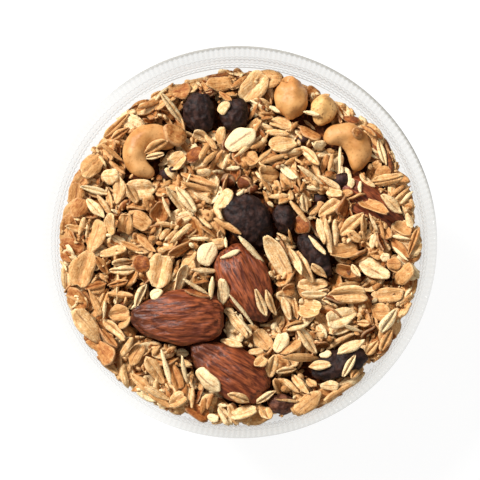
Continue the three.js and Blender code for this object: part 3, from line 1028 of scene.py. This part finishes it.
# %% Where they lie: x, y, length, width, yaw
laid = {
    "white stick": [
        (-13.6, -32.5, 8.3, 1.1, -72), (0.6, -17.6, 10, 0.9, -53), (1.1, -20.9, 6.5, 0.9, -53),
        (25.4, 21.3, 7.5, 0.8, 88), (8.9, 34, 4, 1.2, -42), (-1.6, 18.7, 3.6, 1.1, 2),
        (-2.3, -3.6, 5.6, 1.3, 20), (2.8, -2.2, 9, 1.7, -37), (28.6, -21.9, 6.6, 1, -12),
        (-18.2, -31.5, 9.5, 1.3, -75), (0.2, 12, 2.4, 1, 32), (40.4, 1.1, 5, 0.9, -10),
        (40.3, -3.1, 6, 0.9, -42), (18.2, 32.6, 4.6, 1.2, -8), (-3.4, -0.4, 3.5, 0.8, 85),
        (30.4, 13.9, 3, 1, 88), (42.4, 11.6, 4.6, 1.1, 42),
    ],
    "white plain": [
        (0.2, 26, 8.6, 5.2, 32), (-8, -3, 6.6, 4.7, 62), (-20.7, -13.4, 3.6, 3, 20),
        (-14.3, -27.7, 3.2, 2.2, 0), (21.4, -28.3, 3, 2, 10), (-6.5, -44, 3.2, 2, -20),
    ],
    "white lens": [(-36.6, 13.2, 8, 1.8, -12), (37, -20, 7.2, 3, 56)],
    "cream lens": [
        (-17, 33.8, 11, 2, -48), (-36.3, 8.6, 6.6, 3, -50), (-29.3, -5.2, 7, 2, 0),
        (-29.3, -7.3, 7, 2.3, 2), (-24.8, -13.8, 6.6, 2.4, 65), (-15.8, 10.2, 9.6, 2.2, -53),
        (-13.3, 10.4, 8.6, 2.9, -53), (5.3, -15.8, 7.6, 2.2, -68), (11.7, -16.8, 6.2, 2.3, -72),
        (16.8, -24.6, 9.3, 3, -48), (27.5, -26.4, 7.6, 3, 30), (18.5, -13.3, 7, 2.2, 2),
        (38.3, 9.9, 7.3, 2.8, -40), (16.3, 9.8, 5.3, 2.3, -78), (36, 23, 7, 2, -75),
        (11.6, -32.2, 5.6, 1.8, 5), (-21.4, 21.4, 5.5, 1.6, 12), (13.9, -5, 9.6, 2.4, -62),
        (6.4, -38.9, 5.6, 1.9, 35), (29, -7.4, 4, 1.6, -60), (27, -31.3, 6.4, 2, 60),
    ],
    "cream plain": [
        (-7.7, -34.9, 7.6, 5, -35), (-4.1, -12.6, 7.4, 3.4, 80), (-4, 10.4, 6.8, 4.2, 62),
        (-4, 33.9, 3.8, 3.2, 20), (20.3, 24.6, 3.7, 2.4, -8), (10.3, -25.2, 5.6, 3.6, 60),
        (33.6, 0.4, 4, 1.8, 80), (42.7, 5.4, 4.2, 1.8, -75), (36.6, -3.8, 2.5, 2.2, 0),
        (22.4, -36, 4.9, 2.4, -3), (28.4, 14.9, 2.6, 1.2, 85), (-32.6, 16.5, 5.2, 4, 0),
    ],
    "cream curl": [(9.8, -3.6, 13, 4.6, -63)],
    "cream broad": [(33.8, -7, 8.6, 5, -25), (25.3, -19, 8.6, 5, 20)],
    "cream stick": [
        (24.1, 2.4, 7.2, 2, 85), (-8.6, -7.5, 6.6, 1.5, 6), (-10.6, -11.9, 8, 1, -22),
        (-33.6, -17.3, 4.5, 0.9, 85), (-6.9, -12.2, 5.6, 1.3, 85), (22.6, 15.2, 7, 1.5, -33),
        (19.4, -1.4, 7.2, 1.3, -55), (2.2, 24.3, 9.8, 1.2, 42), (14.2, -21.7, 6, 1.4, 0),
        (-3.4, 20.6, 4.6, 1.3, 65), (-5.3, 6.6, 4.5, 1.4, -47), (-9, 11, 5.6, 1.5, -28),
        (17.8, 17, 8, 1.4, -38), (-18.2, 8.4, 5, 1, -60),
    ],
    "straw broad": [
        (-25, 13.2, 8.2, 5, 5), (3.6, 39.8, 9, 6.4, 50), (10.9, 24.9, 7.6, 4.5, 15),
        (10.6, 30.4, 6.2, 3.6, -15), (22.6, 8.6, 7, 3, 35), (24, 12.6, 5, 2.6, -20),
        (-31.2, -22, 8, 3, -33), (27, -13.4, 11, 4.8, 3), (18.2, -10.8, 8, 3, 0),
        (-2.4, -17.9, 3.6, 2.4, -50), (5.8, -24.6, 6.6, 4, -50), (8, -31.3, 6, 3, 80),
        (5.2, -30.2, 4.2, 3, 50), (1.1, -42.6, 7.6, 3.6, 5), (6.6, -42.8, 4, 3.4, -70),
        (-15.4, -39.6, 5, 3.5, 30), (-9.8, 27, 5, 3, -30), (-31.6, -2.5, 7, 3, 10),
    ],
    "straw lens": [
        (-30.4, 13, 7.6, 3.4, 80), (-27, 12, 6, 2.6, -60), (-34, 9.2, 6.2, 1.8, -60),
        (28.2, 4.5, 8.6, 3.3, 42), (31.2, 4.2, 6.2, 1.8, -70), (-0.4, -21, 8.6, 2.2, -52),
        (-1.9, -25.5, 6.6, 2, -22), (-21, -32.2, 9, 3.4, -52), (16.4, -6.6, 9, 2.8, -62),
        (19.7, -7.6, 5.6, 2, -45), (7.7, -15.6, 6.5, 2.4, -65), (14, -16.8, 5.6, 1.8, -80),
        (20, -31, 6, 2.3, 5), (-0.1, -39.1, 5.9, 2.6, -28), (15, -35.6, 7.2, 2.2, -50),
        (17.8, 21.9, 7.6, 2.8, -42), (-41.4, 3.5, 5, 2.2, -10), (30.9, -20.4, 4, 1.8, -3),
    ],
    "straw stick": [
        (9.6, 27.9, 7, 1.6, -8), (22.2, 1, 9, 1.8, -80), (20.4, 2.5, 7.5, 2, -75),
        (-28.1, -26.6, 7.6, 2, 45), (25.4, -24.7, 8, 1.8, 33), (12.6, -36, 6, 1.5, -35),
        (-20.3, -37.9, 7, 2, -25), (-11.7, -38.9, 5, 1.4, 80), (-7.2, 25.3, 5, 1.6, -55),
        (-39.6, 4, 5, 1.4, 75), (-18.6, 2.2, 6, 1.6, 50), (-17, 1.6, 6.5, 1.6, 52),
        (-15.3, 1.4, 6.5, 1.6, 50), (-13.8, 2.6, 5, 1.6, 45), (12, -39.7, 6.5, 0.7, 2),
    ],
    "straw plain": [
        (-38.2, -21, 10, 5, -48), (4, -27.6, 4, 1.8, 10), (-4.8, 27, 5, 2.8, 75),
        (-13, -6.5, 5, 4, 50),
    ],
    "straw curl": [
        (17.7, -17.3, 6.4, 5.2, -10), (-15.5, 20.4, 5.2, 4.4, 40), (-31.8, 4.3, 6, 3.8, 80),
        (-15, -9.4, 8, 3, 72),
    ],
    "straw lobed": [(-20, -7.5, 9, 6.6, 75)],
    "tan lens": [
        (-21, 23.8, 7, 2.9, 33), (-31.2, 29.8, 9, 2, 44), (-30.3, 27.6, 5.6, 2, 35),
        (-23.4, -0.6, 6.6, 2.2, -45), (-27.2, -1.2, 6, 1.8, -25), (-34, -14.4, 8, 2, 70),
        (-24.3, -35.4, 7, 2.8, -42), (28.5, -33.1, 4.3, 2.3, 55), (17.8, -35.2, 4, 2.1, -50),
        (36.6, -24.6, 6.8, 2.5, 62), (33, -26.6, 5, 2.2, 50), (-10.5, 15.8, 10, 2, -22),
    ],
    "tan ribbed": [(-37.2, 19.4, 7.2, 5.2, 50), (37, 15.8, 9, 3.2, 15), (-25, 5.3, 6.6, 4.4, -30)],
    "tan stick": [
        (-32.3, 22.9, 7, 1.4, -38), (-31.2, 19.2, 6.5, 1.2, -42), (-29.8, -13.4, 7, 1.8, 0),
        (-35.9, -15.6, 7, 1.8, -65), (-19.7, -39.7, 7, 1.6, -30), (15.4, -29.1, 11.6, 2.2, 1),
        (24.6, -37.6, 8, 2, 25), (27.4, -10.8, 8, 1.6, 5), (8.6, 21.1, 7.6, 1.3, 20),
        (6.2, 21.8, 5, 1.3, 30), (13, 20.7, 4, 1.2, 30), (14.8, 7.4, 6.6, 1.6, -50),
        (19.3, 8.2, 5, 1.3, 52), (23.1, 20.2, 4.6, 1.3, 78), (-8.8, 23, 7, 1.6, 55),
        (-7.3, 21.3, 7, 1.5, 52), (-3, 3.4, 7.6, 2, -28), (-11, 13.9, 8, 1.2, -20),
        (10.9, -4.3, 8, 1.5, -65), (40.2, 13.4, 5, 1.1, 42), (41.2, 12.5, 5, 1, 42),
    ],
    "tan plain": [
        (-5, 40.6, 7, 4, 10), (41, -8.3, 7, 4.6, 40), (-36, 1.3, 8.6, 4.9, 75),
        (-28.6, -20.4, 4.2, 3, 20), (-25.7, -28.3, 6.2, 3.4, 60), (12.8, -26.4, 6.2, 3.4, 30),
        (17, -40.2, 7.6, 4.4, 40), (35, -17.6, 5.2, 4.8, 0),
    ],
    "tan broad": [
        (-39.2, -6.9, 10, 6.4, 70), (-28.5, 4.4, 6, 4, 80), (-30, -18, 5.2, 4.4, 10),
        (37.2, -13.3, 8, 4, 5), (7.4, 17.3, 6.6, 4, -5), (3.4, 29.2, 6, 3, 55),
        (2.6, 21.2, 4.6, 4, -40),
    ],
    "tan curl": [(26, -2.8, 9.2, 4.5, 14), (41, 3.2, 5.4, 3.8, -30), (33.9, 8.4, 9.2, 3.4, -40)],
    "toast stick": [
        (-22.6, 35.5, 7.4, 1.6, 30), (21.6, 20, 5, 1.6, 75), (32.7, 28.2, 6, 1.1, -35),
        (0, 41.1, 6, 1.5, 45), (-5.9, 20.9, 6, 1.3, 55), (-9, -41, 4.5, 1.4, 80),
        (-7.3, -39.8, 4, 1.4, 70), (-13.8, -37.8, 5, 1.4, 80),
    ],
    "toast plain": [
        (-14.6, 38.8, 5, 4, 10), (-40.2, 8.6, 5.2, 4.4, 60), (-34.2, -28.8, 7.6, 4.8, -45),
        (38.7, -5.5, 3.6, 3.2, 0), (17.9, 27.8, 6.6, 3.8, -50), (36.3, 18, 4, 2.8, 0),
        (29.8, 27.2, 4.2, 2.6, -15),
    ],
    "toast lens": [
        (-30.2, -10.6, 6, 1.6, 15), (-36, -11, 5.6, 2.2, 15), (-34.4, -6, 5.6, 2.4, -50),
        (-32.6, -24.2, 7, 2.2, -45), (40.3, -1.6, 7.6, 2.6, -48), (43.6, 0, 8, 1.9, 70),
        (-3.6, 36.9, 4.6, 1.6, -45),
    ],
    "toast curl": [
        (-20, 7.8, 6.2, 4.6, 80), (27, -7.1, 6, 3.4, -15), (12.2, -11.9, 3.6, 3.2, 0),
    ],
    "toast broad": [(-14.8, -2, 8, 2.8, 15), (-16, -33.6, 8, 3.2, -70)],
    "toast lump": [(-16.3, 27, 6.4, 5.2, -20)],
    "brown plain": [(-24.6, -5.7, 4.6, 4.4, 10), (-11.5, 22, 5, 4, 50), (15.6, 4, 5.2, 4.4, -50)],
    "brown stick": [
        (28.4, 31.4, 5, 2, -20), (34, 28, 6, 1.2, -38), (38, 20.3, 6, 1.3, -80),
        (-10.4, -13.6, 6, 1.5, -15),
    ],
    "dark lump": [(-3, 15.7, 4.2, 3.4, 0), (1.3, 15.2, 3.8, 3.4, 0), (3.2, 13.6, 3, 2.4, 20)],
}
fruit_bits = [
    (20.3, 11.5, 3.2, 2.6, 0), (25.8, 16, 4.5, 3.6, 30), (16, 26.3, 2.6, 1.9, 0),
    (-18.3, 17.6, 4.6, 3.2, 20),
]

# %% Lay them
LYING, SUNK = 0.9, 0.4  # shares of a flake that end up above what is under it


def lay_by_hand(kind, rows, form, tone, share=LYING):
    """Lays flakes of one form and tone, each at its own place."""
    for x, y, length, width, yaw in rows:
        form_here = {**form, "thick": min(form["thick"], width)}
        own, spread = flake_shape(kind, length, width, **form_here)
        tilt = chance.normal(0, 7)
        placed = lay(own, (x, y), yaw, tilt, chance.normal(0, 4), share)
        tint = tone + chance.normal(0, 0.04)
        keep_flake(kind, placed, spread, tint, lasting=True)


lay_by_hand("fruit_bits", fruit_bits, FORMS["lump"], 0, share=SUNK)
order = sorted(laid, key=lambda name: -SHADES[name.split()[0]])
for name in order:
    shade, form = name.split()
    share = SUNK if shade == "dark" else LYING
    lay_by_hand("laid_flakes", laid[name], FORMS[form], SHADES[shade], share)
print("laid by hand:", len(flakes["laid_flakes"]))

# %% The second pour, with slivers and crumbs that fill the gaps
pour("oat_flakes", 420, whole_flake, bundle=0.2, overhang=0.22, above=1.1)
pour("oat_slivers", 500, sliver, overhang=0.25, above=1.2)
pour("oat_crumbs", 800, crumb, tries=3, overhang=0.6, above=1.6)

# %% [markdown]
# ### Flakes at the clear wall and under the base
#
# Through the wall one sees flakes pressed flat against the plastic, with others behind them
# in the gaps. Pouring can't bring them there, so they are stood up in rings round the wall,
# in two layers, and reach just into the sheet so that no air gap shows. The base is covered
# in a sunflower pattern, the evenest one on a disc, and slivers fill the groove round it.

# %% Stand flakes against the wall
WALL_LAYERS = [(0.0, 4.3), (1.3, 4.6)]  # depth behind the wall, spacing
REACH_IN = 0.1  # how far a flake reaches into the wall
LOWEST, UNDER_FILL = 4, 1.4  # first ring's height, and how far the last stays below the heap
LOW_DROP = 2.5  # how much lower they end on the low side


def against_wall(points, way, height, depth):
    """The flake stood up with its upper side outwards, touching the wall or behind it."""
    slope = np.arctan2(wall_top - FOOT, ledge_bottom - WALL)
    stand = Euler((0, pi / 2 + slope, way), "XYZ").to_matrix()
    placed = points @ np.array(stand).T
    placed[:, 2] += height
    outward = np.array([cos(way), sin(way)])
    placed[:, :2] += outward * float(cavity_radius(height))
    over = (np.hypot(placed[:, 0], placed[:, 1]) - cavity_radius(placed[:, 2])).max()
    placed[:, :2] -= outward * (over - REACH_IN + depth)
    return placed


def hidden_tone():
    return float(np.clip(chance.normal(0.5, 0.2), 0, 1))


for depth, spacing in WALL_LAYERS:
    kind = "oat_flakes_behind" if depth else "oat_flakes_at_wall"
    lowest_point = PANEL_RISE + WALL if depth else WALL
    for height in np.arange(LOWEST, FILL_AT_WALL - 1, spacing * 0.8):
        around = int(2 * pi * cavity_radius(height) / spacing)
        for step in range(around):
            own, spread = whole_flake(kind)
            tilt = chance.normal(0, 20) if chance.random() < 0.75 else chance.uniform(40, 90)
            lying = turned(own, 360 * chance.random(), tilt, chance.normal(0, 10))
            way = 2 * pi * (step + chance.random()) / around
            level = height + chance.uniform(-0.4, 0.4) * spacing
            highest = FILL_AT_WALL - UNDER_FILL - LOW_DROP * lowness(way)
            placed = against_wall(lying, way, float(np.clip(level, LOWEST, highest)), depth)
            placed[:, 2] = np.maximum(placed[:, 2], lowest_point)
            flakes[kind].append((placed, spread, hidden_tone()))

# %% Lay flakes on the base and in its groove
BASE_FLAKES, FOOT_BITS = 260, 220
GROOVE = (foot_inside + 0.4, FOOT - 0.9)

behind = flakes["oat_flakes_behind"]
for i in range(BASE_FLAKES):
    own, spread = whole_flake("oat_flakes_behind")
    out, way = FOOT * ((i + 0.5) / BASE_FLAKES) ** 0.5, i * pi * (3 - 5**0.5)
    placed = turned(own, 360 * chance.random(), 180 + chance.normal(0, 10))
    placed += np.array([out * cos(way), out * sin(way), 0])
    placed = moved_inside(placed, 0, back=0)
    placed[:, 2] += PANEL_RISE + WALL - placed[:, 2].min() - REACH_IN
    behind.append((placed, spread, hidden_tone()))
for i in range(FOOT_BITS):
    own, spread = sliver("oat_flakes_behind")
    way = 2 * pi * i / FOOT_BITS
    out = chance.uniform(*GROOVE)
    yaw = np.degrees(way) + 90 + chance.normal(0, 12)
    placed = turned(own, yaw, 360 * chance.random())
    placed += np.array([out * cos(way), out * sin(way), WALL - REACH_IN - placed[:, 2].min()])
    placed[:, 2] += chance.uniform(0, 0.8)
    behind.append((moved_inside(placed, -REACH_IN, back=0), spread, random_tone()))

# %% [markdown]
# ### Toasted oat
#
# All flakes of a sort become one mesh, which renders and exports faster than thousands of
# objects. One finish serves them all, because every point carries its place along and across
# its own flake and the flake's tone. The tone, shifted by clouds and streaks, picks a colour
# from pale cream to dark toast; the crease is browner, the edge paler, with dark specks.


# %% Join the flakes of a kind into one mesh
def joined_flakes(kind, material, slot):
    placed, faces = flakes[kind], BLANKS[kind][1]
    points = np.concatenate([points for points, _, _ in placed]) * MM
    own = np.concatenate(
        [np.column_stack([spread, np.full(len(spread), tone)]) for _, spread, tone in placed]
    )
    step = len(placed[0][0])
    shifted = faces[None] + step * np.arange(len(placed))[:, None, None]
    mesh = bpy.data.meshes.new(kind)
    mesh.from_pydata(points.tolist(), [], shifted.reshape(-1, 4).tolist())
    layer = mesh.attributes.new("flake", "FLOAT_VECTOR", "POINT")
    layer.data.foreach_set("vector", own.astype(np.float32).ravel())
    finish_piece(mesh, kind, material, slot, "granola")


# %% The flakes' finish
oat = Finish("toasted_oat")
flake_place, along, across, tone = oat.own("flake")
spot = oat.place()
cloud = oat.noise(spot, 900, detail=3, roughness=0.6)
fine = oat.noise(spot, 3200, detail=2)
streaked = oat.add("Mapping", None, {0: flake_place, "Scale": (1.6, 9, 60)})
streaks = oat.noise(streaked, 1.0, detail=2)
mixed = tone + (cloud - 0.5) * 0.85 + (streaks - 0.5) * 0.55
stops = [
    (0.0, "#f6dcaa"),
    (0.28, "#ddac71"),
    (0.55, "#c1874c"),
    (0.8, "#9c5722"),
    (1.0, "#6a320f"),
]
base = oat.add("ValToRGB", {"stops": stops}, {0: mixed})
wander = across + (cloud - 0.5) * 0.25
crease = (1 - oat.fade(abs(wander), 0.02, 0.16)) * (1 - oat.fade(abs(along), 0.55, 0.95))
patchy = oat.fade(oat.noise(spot, 260), 0.38, 0.62)
base = oat.mix(crease * (0.2 + 0.45 * patchy), base, colour("#7c3d14"))
rim = oat.fade(along * along + across * across, 0.7, 1.0)
base = oat.mix(rim * 0.22, base, colour("#f7dcaa"))
base = oat.mix(oat.fade(fine, 0.57, 0.7) * 0.6, base, colour("#8a4716"))
relief = cloud + streaks * 0.6 + fine * 0.4
oat_material = oat.surface(base, 0.42 + 0.3 * fine, 0.25, relief, 0.6, 0.0005)

# %% The finished flakes
bit_skin = fruit_finish("fruit_bit_skin", "#1d0f0c", "#4a2e28", loose=True)
for kind in flakes:
    if kind == "fruit_bits":
        joined_flakes(kind, bit_skin, "dried_fruit")
    else:
        joined_flakes(kind, oat_material, "oat_flakes")

# %% [markdown]
# ## Floor, light and camera
#
# The bowl stands in bright light with hardly a shadow, as on a light table, so the floor
# glows softly. White light from all round fills the gaps, and one lamp from the upper left,
# far away so that it is even, models the flakes. The camera looks down steeply from the
# front, and its lens is worked out from the size of a pixel at the rim's height.

# %% Floor
FLOOR_HALF, FLOOR_GLOW = 3, 0.93

bm = bmesh.new()
bmesh.ops.create_grid(bm, x_segments=2, y_segments=2, size=FLOOR_HALF)
mesh = bpy.data.meshes.new("table_top")
bm.to_mesh(mesh)
bm.free()
floor_paint = Finish("pale_table")
speck = floor_paint.noise(floor_paint.place(), 60)
glow = {
    "Base Color": floor_paint.mix(speck, colour("#585858"), colour("#5c5c5c")),
    "Roughness": 0.8,
    "Emission Color": colour("#ffffff"),
    "Emission Strength": FLOOR_GLOW,
}
mesh.materials.append(floor_paint.close(floor_paint.add("BsdfPrincipled", None, glow)))
table_top = bpy.data.objects.new("table_top", mesh)
bpy.context.scene.collection.objects.link(table_top)

# %% Light
LIGHT_ALL_ROUND = 0.4
LAMP_PLACE, LAMP_SIZE, LAMP_POWER = (-0.81, 0.63, 1.08), 0.4, 35  # metres and watts

world = bpy.data.worlds.new("studio")
world.use_nodes = True
background = world.node_tree.nodes["Background"].inputs
background["Color"].default_value = (1, 1, 1, 1)
background["Strength"].default_value = LIGHT_ALL_ROUND
bpy.context.scene.world = world
bpy.context.scene.view_settings.view_transform = "Standard"

light = bpy.data.lights.new("window_light", "AREA")
light.size, light.energy = LAMP_SIZE, LAMP_POWER
holder = bpy.data.objects.new("window_light", light)
holder.location = LAMP_PLACE
holder.rotation_euler = (-Vector(LAMP_PLACE)).to_track_quat("-Z", "Y").to_euler()
bpy.context.scene.collection.objects.link(holder)

# %% Camera
ELEVATION = radians(83)
DISTANCE = 0.42
SENSOR, PIXELS, PIXEL_SIZE = 36, 480, 0.2478 * MM
OFF_CENTRE = (0.5, -0.8)  # where the camera aims, in pixels from the bowl's axis

aim = Vector((OFF_CENTRE[0] * PIXEL_SIZE, OFF_CENTRE[1] * PIXEL_SIZE, HEIGHT * MM))
camera = bpy.data.objects.new("camera", bpy.data.cameras.new("camera"))
camera.data.sensor_width = SENSOR
camera.data.lens = SENSOR * DISTANCE / (PIXELS * PIXEL_SIZE)
camera.location = aim + DISTANCE * Vector((0, -cos(ELEVATION), sin(ELEVATION)))
camera.rotation_euler = (pi / 2 - ELEVATION, 0, 0)
camera.data.clip_start, camera.data.clip_end = 0.01, 10
bpy.context.scene.collection.objects.link(camera)
bpy.context.scene.camera = camera
